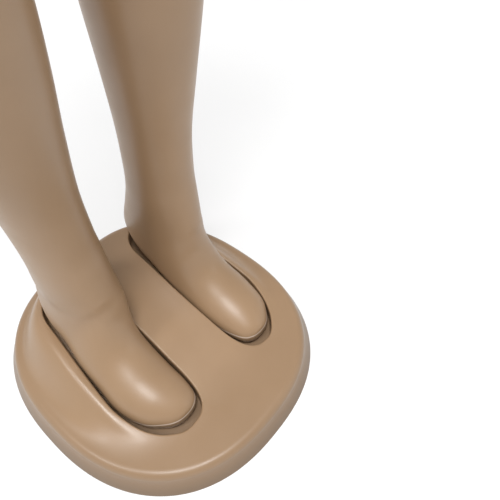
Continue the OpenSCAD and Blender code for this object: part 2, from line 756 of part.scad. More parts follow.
module hand_shell() {
  color(skin) wrist_frame() resize([0, 0, 0]) difference() {
    intersection() {
      union() hand_solid();
      translate([-200, -200, -400 - seam / 2]) cube([400, 400, 400]);
    }
    intersection() {
      loft(PALM, 0, 6.4, 4, 12, wall + 1, down = true);
      translate([-200, -200, -400 - end_wall]) cube([400, 400, 400]);
    }
    translate([0, 0, -seam / 2]) fitting_seat(wrist_flange, 5);
  }
}

module left_hand() hand_shell();
module right_hand() mirror([1, 0, 0]) hand_shell();

module wrist_peg() {
  color(nylon) wrist_frame() mirror([0, 0, 1]) translate([0, 0, seam / 2])
    snap_plug(wrist_flange, wrist_bore - running, 27, wrist_bore + 0.9);
}

module left_wrist_peg() wrist_peg();
module right_wrist_peg() mirror([1, 0, 0]) wrist_peg();

// ---------------------------------------------------------------- head
module head_shell() {
  color(skin) resize([0, 0, 0]) difference() {
    intersection() {
      loft(HEAD, 0, 13, 26, 30, bumps = FACE);
      translate([-200, -200, neck_c[2] + seam / 2]) cube(400);
    }
    intersection() {
      loft(HEAD, 0, 12.2, 10, 14, wall + 0.6, FACE);
      translate([-200, -200, neck_c[2] + end_wall]) cube(400);
    }
    translate(neck_c) mirror([0, 0, 1]) translate([0, 0, -seam / 2])
      fitting_seat(neck_flange, 9, neck_screw_r, 3);
  }
}

module neck_plug() {
  color(nylon) translate(neck_c) translate([0, 0, seam / 2])
    snap_plug(neck_flange, neck_bore - running, 40, neck_bore + 1.4, neck_screw_r, 3);
}

module head_screws() {
  color(zinc) translate(neck_c) mirror([0, 0, 1]) translate([0, 0, -seam / 2]) screw_ring(neck_screw_r, 3);
}

base_shell();
base_plate();
plate_screws();
non_slip_pads();
foot_bolts();
foot_washers();
foot_inserts();
left_leg();
right_leg();
left_hip_plug();
right_hip_plug();
left_hip_socket();
right_hip_socket();
hip_screws();
pelvis_shell();
waist_socket();
waist_plug();
waist_screws();
torso_shell();
neck_socket();
neck_screws();
left_shoulder_socket();
right_shoulder_socket();
shoulder_screws();
left_arm();
right_arm();
left_shoulder_plug();
right_shoulder_plug();
left_arm_screws();
right_arm_screws();
left_wrist_socket();
right_wrist_socket();
left_hand();
right_hand();
left_wrist_peg();
right_wrist_peg();
head_shell();
neck_plug();
head_screws();
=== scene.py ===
# Full body display mannequin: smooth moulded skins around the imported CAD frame.
# Stations and profiles are in millimetres, as in the CAD; meshes are in metres.
import json
import math

import bmesh
import bpy
import numpy as np
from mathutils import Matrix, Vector


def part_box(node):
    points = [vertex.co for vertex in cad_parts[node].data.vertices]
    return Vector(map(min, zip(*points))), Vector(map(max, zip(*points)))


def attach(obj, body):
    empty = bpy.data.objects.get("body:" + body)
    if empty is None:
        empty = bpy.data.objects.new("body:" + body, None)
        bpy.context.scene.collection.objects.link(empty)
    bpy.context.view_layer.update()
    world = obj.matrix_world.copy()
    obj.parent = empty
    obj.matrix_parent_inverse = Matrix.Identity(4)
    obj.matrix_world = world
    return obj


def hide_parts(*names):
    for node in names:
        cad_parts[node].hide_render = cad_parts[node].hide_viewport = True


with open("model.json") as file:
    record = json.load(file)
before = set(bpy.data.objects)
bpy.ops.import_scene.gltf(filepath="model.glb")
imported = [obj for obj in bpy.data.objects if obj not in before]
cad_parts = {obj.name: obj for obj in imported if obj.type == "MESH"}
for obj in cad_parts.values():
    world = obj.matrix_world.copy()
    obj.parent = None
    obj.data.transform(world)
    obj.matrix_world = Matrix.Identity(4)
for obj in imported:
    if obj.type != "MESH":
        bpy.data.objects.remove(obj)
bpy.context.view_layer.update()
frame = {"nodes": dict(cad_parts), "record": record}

MM = 0.001
NODES = frame["nodes"]
JOINTS = {j["name"]: j for j in frame["record"]["behaviour"]["joints"]}


# ------------------------------------------------------------------ dimensions
SEAM = 0.6                      # gap between two neighbouring shells
RIM = 0.9                       # rounding of a shell's edge at a seam
FOOT_X = 69                     # centre line of each foot
LEFT = (-4, 4, 5, 0)            # stance: foot shift along x and y, bend of the toes, shin shift along x
LEFT_WELL_NARROW = 3.5          # the left well is drawn in by this beside the toes
RIGHT = (0, 0, 0, -14)
HIP_CENTRE = np.array([86.5, 47, 885])
HIP_TILT = math.radians(31)
WAIST_Z = 1105
SHOULDER_X = JOINTS["shoulder_left"]["pos_m"][0] / MM
NECK_Z = JOINTS["head_turn"]["pos_m"][2] / MM
WRIST_CENTRE = np.array(JOINTS["wrist_left"]["pos_m"]) / MM
WRIST_AXIS = np.array(JOINTS["wrist_left"]["axis"])

BASE_A, BASE_B = 166, 183       # half width and half depth of the base
BASE_X, BASE_Y = -9, 23         # its centre
PLATE_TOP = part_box("base_plate")[1][2] / MM
SQUARENESS = 2.36               # of the base's outline
BASE_WALL = 3
RIM_H = 27                      # height of the base's rim
HEEL_RISE = 41                  # further rise of its top towards the heels
HILL_Y, HILL_RUN = -105, 215    # where that rise starts and over what length
SADDLE, SADDLE_REACH = 5, 30    # depth and half width of the dip between the heels
DRAFT = 9                       # lean of the base's wall
ROUND = 9                       # rounding of its rim
TOP_INSET = DRAFT + ROUND       # from the outline at the floor to the top's edge
WELL_ROUND = 2.2                # rounding of the wells' edges
LIP = 1.8                       # height of the ridge beside the wells
LIP_AWAY, LIP_REACH = 9, 7      # its distance from the well's edge and its half width

# Where the stance comes in and fades out: start and length
FOOT_FADE = (50, 120)           # the foot's shift, up the ankle
SHIN_RISE = (52, 70)            # the shin's shift, above the ankle
SHIN_FADE = (200, 450)          # the same, up to the hip
TOES_Y, TOES_REACH = -15, 60    # the bend of the toes, ahead of the instep

BODY_VOXEL, HAND_VOXEL = 2.6, 1.1
RELAX_PULL, RELAX_PUSH = 0.5, -0.52     # smoothing step, and the step back that keeps the volume

# Stations: centre x, y, z, pitch about X, half width, front reach, back reach,
# squareness of the back half (2 is an ellipse).
LEG = [
    [-5, -80.5, 21.5, 90, 3, 3, 3, 2],
    [-4.7, -78, 22, 90, 13.2, 10, 9, 2.5],
    [-3.5, -70, 22.8, 90, 23, 16, 11.8, 2.8],
    [1.4, -52, 25.2, 88, 32, 22.5, 14.2, 2.8],
    [5.2, -22, 30, 85, 36.5, 29, 18, 2.7],
    [4, 10, 39, 78, 36.3, 37, 22, 2.5],
    [2.5, 36, 56, 66, 35.3, 46.5, 26, 2.4],
    [1, 55, 79, 50, 34, 50.5, 44, 2.3],
    [2, 68, 98, 38, 34.5, 54.5, 67, 2.3],
    [2.2, 75, 118, 24, 34.8, 53, 72.5, 2.2],
    [2.5, 78, 142, 11, 35, 50, 55.5, 2.1],
    [3, 77, 170, 2, 34.3, 45, 45.5, 2],
    [4, 76, 200, -2, 33.8, 41.5, 42, 2],
    [5.5, 73, 250, -5, 35, 40, 42.5, 2],
    [7, 66, 310, -6, 40.5, 42.5, 48.5, 2],
    [7, 58, 370, -6, 46.5, 46, 54, 2],
    [7, 52, 420, -6, 50, 48.5, 55, 2],
    [5, 47, 480, -4, 49.5, 50.5, 51, 2],
    [3, 45, 535, -1, 47.5, 53, 48, 2],
    [4, 45, 590, 0, 52, 56, 50, 2],
    [8, 46, 660, 1, 62, 63, 60, 2],
    [12, 47, 740, 2, 70, 71, 70, 2],
    [15, 47, 810, 2, 75.5, 77, 78, 2],
    [17, 47, 860, 2, 79, 82, 86, 2],
    [18, 47, 900, 1, 81, 85, 97, 2],
    [17, 47, 935, 0, 79, 84, 100, 2],
    [13, 47, 970, 0, 74, 80, 93, 2],
    [6, 46, 1005, 0, 60, 68, 72, 2],
    [0, 45, 1025, 0, 30, 36, 36, 2],
]
TORSO = [
    [0, 46, 842, 0, 12, 26, 30, 2],
    [0, 46, 850, 0, 34, 46, 50, 2],
    [0, 46, 870, 0, 70, 70, 74, 2],
    [0, 46, 900, 0, 112, 86, 86, 2],
    [0, 46, 940, 0, 146, 95, 95, 2],
    [0, 45, 980, 0, 152, 96, 97, 2],
    [0, 43, 1020, 0, 141, 91, 90, 2],
    [0, 41, 1060, 0, 122, 84, 77, 2],
    [0, 40, 1105, 0, 109, 78, 70, 2],
    [0, 41, 1150, 0, 112, 82, 74, 2],
    [0, 44, 1200, 0, 122, 89, 82, 2],
    [0, 47, 1250, 0, 129, 94, 86, 2],
    [0, 50, 1300, 0, 133, 95, 88, 2],
    [0, 52, 1345, 0, 132, 89, 88, 2],
    [0, 53, 1385, 0, 124, 76, 82, 2],
    [0, 52, 1415, 0, 108, 63, 72, 2],
    [0, 49, 1440, 0, 83, 53, 60, 2],
    [0, 45, 1460, 0, 63, 48, 51, 2],
    [0, 40, 1482, 0, 51, 46.5, 47, 2],
    [0, 34, 1505, 0, 47.5, 47.5, 47.5, 2],
    [0, 31.5, 1522, 0, 47, 47, 47, 2],
    [0, 31, 1540, 0, 47, 47, 47, 2],
]
# Sideways lofts: x and y trade places, so the sections lie across the arm.
SHOULDER = [
    [50, 45, 1402, -90, 60, 60, 70, 2],
    [50, 80, 1401, -90, 57, 58, 57, 2],
    [50, 110, 1400, -90, 50, 52, 50, 2],
    [50, 138, 1399, -90, 45, 46, 46, 2],
    [50, 150, 1399, -90, 44, 45, 45, 2],
]
ARM = [
    [50, 138, 1399, -90, 45, 46, 46, 2],
    [50, 155, 1394, -73, 45, 45, 44.5, 2],
    [50, 167, 1381, -54, 44, 42, 41, 2],
    [50, 172, 1363, -34, 42.5, 38, 37.5, 2],
    [50, 174, 1340, -16, 41, 35.5, 35.5, 2],
    [50, 176.5, 1308, -8, 40, 34.5, 34, 2],
    [51, 182, 1260, -7, 38.5, 33, 33, 2],
    [53, 190, 1200, -7, 36, 31, 31.5, 2],
    [53, 198, 1140, -7, 33.5, 30, 30.5, 2],
    [48, 205, 1090, -7, 34, 31, 31, 2],
    [39, 214, 1030, -7, 31.5, 28, 28.5, 2],
    [29, 223, 970, -8, 27, 24.5, 24.5, 2],
    [22, 229, 925, -8, 24, 23.2, 23.2, 2],
    [19, 232, 905, -8, 23.5, 23.5, 23.5, 2],
]
HEAD = [
    [0, 31.5, 1516, 0, 47, 47, 47, 2],
    [0, 29, 1536, -5, 47.5, 47, 50, 2],
    [0, 27, 1554, -15, 51, 58, 57, 2],
    [0, 22, 1569, -21, 57, 93, 70, 2],
    [0, 20, 1585, -21, 62, 98, 82, 2],
    [0, 20, 1605, -17, 66.5, 98, 90, 2],
    [0, 21, 1630, -11, 70.5, 97, 93, 2],
    [0, 22, 1658, -4, 73, 96, 94, 2],
    [0, 24, 1685, 3, 73, 93, 90, 2],
    [0, 27, 1708, 8, 68, 83, 81, 2],
    [0, 30, 1727, 11, 57, 67, 66, 2],
    [0, 32, 1740, 11, 42, 48, 47, 2],
    [0, 33, 1746, 8, 24, 27, 27, 2],
    [0, 33, 1749, 4, 3, 3, 3, 2],
]
# The hand hangs from the wrist centre: x is the back of the hand, -y the thumb.
PALM = [
    [0, 0, 4, 0, 23.5, 23.5, 23.5, 2],
    [0, 0, -10, 0, 21.5, 23.8, 23.5, 2],
    [0, 0, -24, 0, 18.5, 27, 25.5, 2],
    [0, 0, -42, 0, 16.5, 33, 29, 2],
    [0.5, 0, -62, 0, 14.5, 36.5, 32.5, 2],
    [1, 0, -80, 0, 12.5, 37, 35, 2],
    [1, 0, -92, 0, 10.5, 35.5, 34.5, 2],
    [0.5, 0, -99, 0, 6, 32, 31, 2],
    [0, 0, -101, 0, 1, 28, 28, 2],
]
THUMB = [
    [3, -14, -18, 25, 9, 10, 10, 2],
    [2, -22, -32, 32, 12, 13, 13, 2],
    [-1, -33, -48, 34, 11.5, 12.5, 12.5, 2],
    [-5, -42, -63, 28, 9.8, 10.5, 10.5, 2],
    [-8, -48, -78, 20, 9.3, 10, 9.5, 2],
    [-10, -52, -92, 14, 8, 8.5, 8.5, 2],
    [-11, -53.5, -100, 10, 5, 5.5, 5.5, 2],
    [-11, -54, -103, 10, 1, 1, 1, 2],
]
# Each finger: knuckle y, knuckle z, length, radius, splay
FINGERS = [
    [-27, -88, 74, 8.4, -0.06],
    [-9.5, -91, 82, 8.6, -0.015],
    [8, -89, 76, 8.2, 0.03],
    [25, -84, 60, 7.3, 0.08],
]
# Soft swellings and hollows: centre, reach along each axis, push
BUST = [[(s * 64, -42, 1272), (50, 58, 46), (s * 6, -40, -3)] for s in (-1, 1)]
FACE = [
    [(0, -78, 1612), (11, 24, 22), (0, -13, 0)],
    [(0, -76, 1600), (15, 20, 9), (0, -7, 0)],
    [(27, -72, 1636), (17, 26, 12), (0, 6, 0)],
    [(-27, -72, 1636), (17, 26, 12), (0, 6, 0)],
    [(0, -76, 1577), (22, 20, 9), (0, -4, 0)],
    [(0, -70, 1543), (20, 24, 12), (0, -4, 0)],
]
# Foot wells seen from above: y along the foot, inner and outer edge
WELL = [
    [-92, 0, 0], [-91, -11, 7], [-88, -18, 13.5], [-82, -24, 21], [-73, -28.5, 29.5],
    [-60, -31.5, 37], [-44, -33, 42], [-22, -33.5, 45], [2, -34, 43.5], [37, -34, 39.5],
    [75, -33, 34.5], [105, -31, 30.5], [122, -24, 23], [131, -15, 14], [135, -7, 6.5], [136, 0, 0],
]
WELL_FLOOR = [[-100, 10.5], [-20, 11], [15, 15.5], [46, 30.5], [83, 42], [120, 50], [150, 53]]


# ------------------------------------------------------------------ curves
def station(rows, t):
    """Smooth curve through the stations at positions t."""
    rows = np.asarray(rows, float)
    slope = np.gradient(rows, axis=0)
    t = np.atleast_1d(t)
    i = np.minimum(t.astype(int), len(rows) - 2)
    s = (t - i)[:, None]
    return (
        (2 * s**3 - 3 * s**2 + 1) * rows[i]
        + (s**3 - 2 * s**2 + s) * slope[i]
        + (3 * s**2 - 2 * s**3) * rows[i + 1]
        + (s**3 - s**2) * slope[i + 1]
    )


def ramp(k):
    """Smooth step from 0 to 1."""
    k = np.clip(k, 0, 1)
    return k * k * (3 - 2 * k)


def ramp_from(v, span):
    """Smooth step that starts at span[0] and takes span[1]."""
    return ramp((v - span[0]) / span[1])


def signed_power(v, e):
    return np.sign(v) * np.abs(v) ** e


def rings(rows, first, last, along, around, sideways=False):
    """Points of a loft's sections between two stations, as along x around x 3."""
    r = station(rows, np.linspace(first, last, along))[:, None, :]
    a = np.linspace(0, 2 * np.pi, around, endpoint=False)
    s = np.sin(a)[None, :]
    e = 2 / np.where(s < 0, 2, r[..., 7])
    u = np.maximum(r[..., 4], 0.5) * signed_power(np.cos(a)[None, :], e)
    v = np.maximum(np.where(s < 0, r[..., 5], r[..., 6]), 0.5) * signed_power(s, e)
    pitch = np.radians(r[..., 3])
    P = np.stack([r[..., 0] + u, r[..., 1] + v * np.cos(pitch), r[..., 2] - v * np.sin(pitch)], -1)
    return P[..., [1, 0, 2]] if sideways else P


def sculpt(P, bumps):
    """Pushes the points by every swelling."""
    moved = P.copy()
    for centre, reach, push in bumps:
        d = (P - np.array(centre)) / np.array(reach)
        moved += np.exp(-(d**2).sum(-1))[..., None] * np.array(push)
    return moved


def posed(P, stance):
    """Sets a foot and shin in their stance, which fades out up the leg."""
    dx, dy, toes, lean = stance
    x, y, z = P[..., 0], P[..., 1], P[..., 2]
    foot = 1 - ramp_from(z, FOOT_FADE)
    shin = ramp_from(z, SHIN_RISE) * (1 - ramp_from(z, SHIN_FADE))
    x = x + (dx + toes * ramp((TOES_Y - y) / TOES_REACH)) * foot + lean * shin
    return np.stack([x, y + dy * foot, z], -1)


def finger_rows(y0, z0, length, radius, splay):
    """Stations of a finger bent along an arc."""
    lead, bend = 5, 38          # degrees at the knuckle, and from there to the tip
    taper, tip = 0.2, 0.8       # loss of radius, and where the tip's rounding starts
    k = length / math.radians(bend)
    out = []
    for s in np.linspace(0, 1, 9):
        a = lead + bend * s
        rounding = 1 if s < tip else math.sqrt(max(0.02, 1 - ((s - tip) / 0.2) ** 2))
        r = radius * (1 - taper * s) * rounding
        x = -k * (math.cos(math.radians(lead)) - math.cos(math.radians(a)))
        z = z0 - k * (math.sin(math.radians(a)) - math.sin(math.radians(lead)))
        out.append([y0 + splay * s * length, x, z, a, r, r, r, 2])
    return out


# ------------------------------------------------------------------ meshes
def add_object(name, data):
    """New object in the scene, which holds a mesh, a light or the camera."""
    ob = bpy.data.objects.new(name, data)
    bpy.context.scene.collection.objects.link(ob)
    return ob


def mesh_object(name, points, faces):
    """New object from points in millimetres."""
    me = bpy.data.meshes.new(name)
    me.from_pydata((np.asarray(points) * MM).tolist(), [], faces)
    me.update()
    return add_object(name, me)


def grid_faces(along, around):
    """Faces of a grid of points that is closed around."""
    faces = []
    for i in range(along - 1):
        for j in range(around):
            k = (j + 1) % around
            a, b = i * around, (i + 1) * around
            faces.append((a + j, a + k, b + k, b + j))
    return faces


def closed_grid(P):
    """Points and faces of a loft closed at both ends."""
    along, around = P.shape[:2]
    faces = grid_faces(along, around)
    faces.append(tuple(range(around))[::-1])
    faces.append(tuple((along - 1) * around + j for j in range(around)))
    return P.reshape(-1, 3), faces


def face_outwards(ob):
    bm = bmesh.new()
    bm.from_mesh(ob.data)
    bmesh.ops.recalc_face_normals(bm, faces=bm.faces)
    bm.to_mesh(ob.data)
    bm.free()


def loft(name, P, mirror=False):
    if mirror:
        P = P * np.array([-1, 1, 1])
    ob = mesh_object(name, *closed_grid(P))
    face_outwards(ob)
    return ob


def union(name, lofts, voxel, steps):
    """One skin over several overlapping lofts, remeshed and relaxed."""
    points, faces = [], []
    for P in lofts:
        start = sum(len(p) for p in points)
        pts, fcs = closed_grid(P)
        points.append(pts)
        faces += [tuple(start + i for i in f) for f in fcs]
    ob = mesh_object(name, np.concatenate(points), faces)
    face_outwards(ob)
    remesh = ob.modifiers.new("skin", "REMESH")
    remesh.mode = "VOXEL"
    remesh.voxel_size = voxel * MM
    apply_modifiers(ob)
    relax(ob, steps)
    return ob


def apply_modifiers(ob):
    deps = bpy.context.evaluated_depsgraph_get()
    made = bpy.data.meshes.new_from_object(ob.evaluated_get(deps))
    ob.modifiers.clear()
    old = ob.data
    ob.data = made
    bpy.data.meshes.remove(old)


def coordinates(me):
    co = np.empty(len(me.vertices) * 3)
    me.vertices.foreach_get("co", co)
    return co.reshape(-1, 3)


def relax(ob, steps, where=None, hold=True):
    """Smooths the mesh. With hold it keeps its volume; where weights each vertex."""
    me = ob.data
    co = coordinates(me)
    ends = np.empty(len(me.edges) * 2, int)
    me.edges.foreach_get("vertices", ends)
    a, b = ends[::2], ends[1::2]
    count = np.maximum(np.bincount(ends, minlength=len(co)), 1)[:, None]
    weight = 1 if where is None else where(co / MM)[:, None]
    for step in range(steps):
        mean = np.zeros_like(co)
        for axis in range(3):
            mean[:, axis] = np.bincount(a, co[b, axis], len(co))
            mean[:, axis] += np.bincount(b, co[a, axis], len(co))
        pull = RELAX_PULL if not hold or step % 2 == 0 else RELAX_PUSH
        co += pull * weight * (mean / count - co)
    me.vertices.foreach_set("co", co.ravel())
    me.update()


def ordered_loops(edges):
    """Boundary edges as closed lists of vertices."""
    links = {}
    for e in edges:
        for v, w in ((e.verts[0], e.verts[1]), (e.verts[1], e.verts[0])):
            links.setdefault(v, []).append(w)
    loops = []
    while links:
        first = next(iter(links))
        loop, here, before = [first], links[first][0], first
        while here is not first:
            loop.append(here)
            step = [w for w in links[here] if w is not before]
            before, here = here, step[0] if step else first
        for v in loop:
            links.pop(v, None)
        loops.append(loop)
    return loops


def cut(ob, point, normal, rim=RIM):
    """Cuts the mesh off at a plane, rounds the edge and closes the end.

    The normal points at what goes.
    """
    bm = bmesh.new()
    bm.from_mesh(ob.data)
    n = Vector(normal).normalized()
    p = Vector(np.asarray(point) * MM) - n * rim * MM
    geometry = bm.verts[:] + bm.edges[:] + bm.faces[:]
    bmesh.ops.bisect_plane(bm, geom=geometry, dist=1e-6, plane_co=p, plane_no=n, clear_outer=True)

    def on_plane(e):
        return all(abs((v.co - p).dot(n)) < 2e-6 for v in e.verts)

    for loop in ordered_loops([e for e in bm.edges if e.is_boundary and on_plane(e)]):
        close_end(bm, loop, n, rim * MM)
    bmesh.ops.recalc_face_normals(bm, faces=bm.faces)
    bm.to_mesh(ob.data)
    bm.free()


def bridge(bm, before, ring):
    """Faces between two rings of vertices."""
    for i in range(len(ring)):
        k = (i + 1) % len(ring)
        bm.faces.new((before[i], before[k], ring[k], ring[i]))


def close_end(bm, loop, n, r):
    """Rounds over an open loop and closes it with rings that end in a small face."""
    centre = sum((v.co for v in loop), Vector()) / len(loop)
    reach = sum((v.co - centre).length for v in loop) / len(loop)
    sections = 4
    turn = np.linspace(0, math.pi / 2, sections + 1)[1:]
    profile = [(r * (1 - math.cos(a)), r * math.sin(a)) for a in turn]
    profile += [(reach * k, r) for k in (0.03, 0.15, 0.5, 0.85)]
    before = loop
    for inward, up in profile:
        ring = [bm.verts.new(v.co + (centre - v.co) * (inward / reach) + n * up) for v in loop]
        bridge(bm, before, ring)
        before = ring
    bm.faces.new(before)


def smooth(ob):
    ob.data.polygons.foreach_set("use_smooth", [True] * len(ob.data.polygons))
    ob.data.update()


def piece(ob, material, body, *nodes):
    """Dresses a finished piece and ties it to its CAD body and nodes."""
    smooth(ob)
    ob.data.materials.clear()
    ob.data.materials.append(material)
    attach(ob, body)
    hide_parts(*nodes)


# ------------------------------------------------------------------ materials
SKIN = (0.312, 0.200, 0.114)
NOISE_LOW, NOISE_HIGH = 0.3, 0.7        # the part of a noise's range that is spread over a material's
PARTING_Z = 27.0                        # height of the parting line round the toes
PARTING_NEAR, PARTING_FAR = 0.4, 1.2    # distance from it within which it is full, and where it ends
PARTING_COLOUR = (0.72, 0.60, 0.50)
PAINTED_SHADE_FULL_Z, PAINTED_SHADE_END_Z = 4, 31       # between these the painted shade on the base fades out upwards
MIX_A, MIX_B, MIX_RESULT = 6, 7, 2      # colour sockets of a Mix node


def node_material(name):
    mat = bpy.data.materials.new(name)
    mat.use_nodes = True
    tree = mat.node_tree
    return mat, tree, tree.nodes["Principled BSDF"]


def noise(tree, scale, detail=2.0, roughness=0.5):
    coord = tree.nodes.new("ShaderNodeTexCoord")
    tex = tree.nodes.new("ShaderNodeTexNoise")
    tex.inputs["Scale"].default_value = scale
    tex.inputs["Detail"].default_value = detail
    tex.inputs["Roughness"].default_value = roughness
    tree.links.new(coord.outputs["Object"], tex.inputs["Vector"])
    return tex


def colour_ramp(tree, factor, low, high):
    """Colour that a noise moves between low and high."""
    mix = tree.nodes.new("ShaderNodeValToRGB")
    for end, place, colour in zip(mix.color_ramp.elements, (NOISE_LOW, NOISE_HIGH), (low, high)):
        end.position = place
        end.color = (*colour, 1)
    tree.links.new(factor, mix.inputs["Fac"])
    return mix.outputs["Color"]


def map_range(tree, value, low, high, start=NOISE_LOW, stop=NOISE_HIGH):
    """Low where the value is start or less, high where it is stop or more."""
    node = tree.nodes.new("ShaderNodeMapRange")
    node.inputs["From Min"].default_value = start
    node.inputs["From Max"].default_value = stop
    node.inputs["To Min"].default_value = low
    node.inputs["To Max"].default_value = high
    tree.links.new(value, node.inputs["Value"])
    return node.outputs["Result"]


def bump(tree, shader, height, strength, distance):
    node = tree.nodes.new("ShaderNodeBump")
    node.inputs["Strength"].default_value = strength
    node.inputs["Distance"].default_value = distance
    tree.links.new(height, node.inputs["Height"])
    tree.links.new(node.outputs["Normal"], shader.inputs["Normal"])


def skin_plastic(name, tone):
    """Satin sprayed plastic: faint mottling, uneven sheen and a fine orange peel."""
    mat, tree, shader = node_material(name)
    tone = np.array(tone)
    mottle = noise(tree, 9.0, 4.0, 0.6)
    colour = colour_ramp(tree, mottle.outputs["Fac"], tone * 0.955, tone * 1.045)
    tree.links.new(colour, shader.inputs["Base Color"])
    sheen = noise(tree, 34.0, 3.0)
    tree.links.new(map_range(tree, sheen.outputs["Fac"], 0.34, 0.42), shader.inputs["Roughness"])
    shader.inputs["Specular IOR Level"].default_value = 0.5
    shader.inputs["Coat Weight"].default_value = 0.06
    shader.inputs["Coat Roughness"].default_value = 0.22
    peel = noise(tree, 950.0, 2.0, 0.55)
    bump(tree, shader, peel.outputs["Fac"], 0.10, 0.0004)
    return mat


def height_band(tree, shader, low, high, at_low, colour):
    """Blends a colour into the base colour by height in mm: at_low below low, none above high."""
    place = tree.nodes.new("ShaderNodeTexCoord")
    axes = tree.nodes.new("ShaderNodeSeparateXYZ")
    tree.links.new(place.outputs["Object"], axes.inputs[0])
    band = map_range(tree, axes.outputs["Z"], at_low, 0.0, low * MM, high * MM)
    blend = tree.nodes.new("ShaderNodeMix")
    blend.data_type = "RGBA"
    tree.links.new(band, blend.inputs["Factor"])
    tree.links.new(shader.inputs["Base Color"].links[0].from_socket, blend.inputs[MIX_A])
    blend.inputs[MIX_B].default_value = (*colour, 1)
    tree.links.new(blend.outputs[MIX_RESULT], shader.inputs["Base Color"])
    return axes, band


def leg_plastic(name, tone):
    """The shells' plastic with the fine parting line of the mould low round the foot."""
    mat = skin_plastic(name, tone)
    tree = mat.node_tree
    shader = tree.nodes["Principled BSDF"]
    axes, band = height_band(tree, shader, PARTING_NEAR, PARTING_FAR, 0.85, PARTING_COLOUR)
    away = tree.nodes.new("ShaderNodeMath")
    away.operation = "SUBTRACT"
    away.inputs[1].default_value = PARTING_Z * MM
    tree.links.new(axes.outputs["Z"], away.inputs[0])
    gap = tree.nodes.new("ShaderNodeMath")
    gap.operation = "ABSOLUTE"
    tree.links.new(away.outputs[0], gap.inputs[0])
    tree.links.new(gap.outputs[0], band.node.inputs["Value"])
    return mat


def base_plastic_painted_shade(name, tone):
    """The shells' plastic, with painted shade low down: on the base's wall and in the deep parts of its
    wells.

    The photo's base wall is darker there than the studio's light alone leaves it. The
    blend goes by height, so it tints the deep parts of the wells as well.
    """
    mat = skin_plastic(name, tone)
    tree = mat.node_tree
    # painted shade: a darker copy of the plastic's tone, blended in by height
    painted_shade_tone = tuple(0.46 * c + 0.004 for c in tone)
    height_band(tree, tree.nodes["Principled BSDF"], PAINTED_SHADE_FULL_Z, PAINTED_SHADE_END_Z, 0.8, painted_shade_tone)
    return mat


def nylon():
    mat, tree, shader = node_material("natural_nylon")
    cloud = noise(tree, 60.0, 3.0)
    colour = colour_ramp(tree, cloud.outputs["Fac"], (0.70, 0.68, 0.62), (0.80, 0.79, 0.74))
    tree.links.new(colour, shader.inputs["Base Color"])
    tree.links.new(map_range(tree, cloud.outputs["Fac"], 0.38, 0.5), shader.inputs["Roughness"])
    shader.inputs["Subsurface Weight"].default_value = 0.05
    grain = noise(tree, 700.0)
    bump(tree, shader, grain.outputs["Fac"], 0.12, 0.0003)
    return mat


def plated_steel(name, low, high, rough):
    mat, tree, shader = node_material(name)
    cloud = noise(tree, 45.0, 5.0, 0.65)
    tree.links.new(colour_ramp(tree, cloud.outputs["Fac"], low, high), shader.inputs["Base Color"])
    tree.links.new(map_range(tree, cloud.outputs["Fac"], rough, rough + 0.14), shader.inputs["Roughness"])
    shader.inputs["Metallic"].default_value = 1.0
    grain = noise(tree, 1200.0)
    bump(tree, shader, grain.outputs["Fac"], 0.15, 0.0002)
    return mat


def rubber():
    mat, tree, shader = node_material("pad_rubber")
    cloud = noise(tree, 120.0, 4.0)
    colour = colour_ramp(tree, cloud.outputs["Fac"], (0.018, 0.018, 0.018), (0.04, 0.04, 0.038))
    tree.links.new(colour, shader.inputs["Base Color"])
    tree.links.new(map_range(tree, cloud.outputs["Fac"], 0.7, 0.85), shader.inputs["Roughness"])
    grain = noise(tree, 900.0)
    bump(tree, shader, grain.outputs["Fac"], 0.3, 0.0004)
    return mat


skin = skin_plastic("skin_plastic", SKIN)
leg_skin = leg_plastic("leg_plastic", SKIN)
# the base's plastic carries painted shade low on its wall and in its wells
base_skin_painted_shade = base_plastic_painted_shade("base_plastic_painted_shade", SKIN)


# ------------------------------------------------------------------ camera and light
CAMERA_PLACE = (-0.164, -0.251, 0.522)
CAMERA_HEADING, CAMERA_DROP = 50, 50    # degrees from the figure's back to its left, and down
LENS, SENSOR = 33.6, 36
HORIZON, ZENITH = 0.92, 0.42            # brightness of the surroundings
HORIZON_UP, ZENITH_UP = 0.06, 0.4       # upward part of the directions that have it
# Area lights: name, place, target (m), width and height (m), power (W)
LIGHTS = [
    ("key", (-0.9, -0.9, 4.4), (0, 0, 0.1), (1.4, 1.4), 165),
    ("streak", (-2.6, 0.8, 3.9), (0, 0, 0.1), (0.9, 0.9), 52),
    ("front", (2.6, -3.2, 2.2), (0, 0, 0.5), (1.0, 1.5), 9),
    ("rear", (0.6, 4.2, 2.6), (0, 0, 0.9), (1.6, 1.4), 14),
]
FLOOR_REACH = 9e3                       # half width of the studio's floor
FLOOR_GREYS = (0.35, 0.37)
FLOOR_GLOW = 0.62                       # emission that keeps the floor white, as in the photo


def make_camera():
    data = bpy.data.cameras.new("camera")
    data.lens = LENS
    data.sensor_width = SENSOR
    cam = add_object("camera", data)
    cam.location = CAMERA_PLACE
    heading, drop = math.radians(CAMERA_HEADING), math.radians(CAMERA_DROP)
    along = math.cos(drop)
    look = Vector((math.sin(heading) * along, math.cos(heading) * along, -math.sin(drop)))
    cam.rotation_euler = look.to_track_quat("-Z", "Y").to_euler()
    bpy.context.scene.camera = cam


def area_light(name, place, target, size, power):
    data = bpy.data.lights.new(name, "AREA")
    data.shape = "RECTANGLE"
    data.size, data.size_y = size
    data.energy = power
    ob = add_object(name, data)
    ob.location = place
    ob.rotation_euler = (Vector(target) - Vector(place)).to_track_quat("-Z", "Y").to_euler()


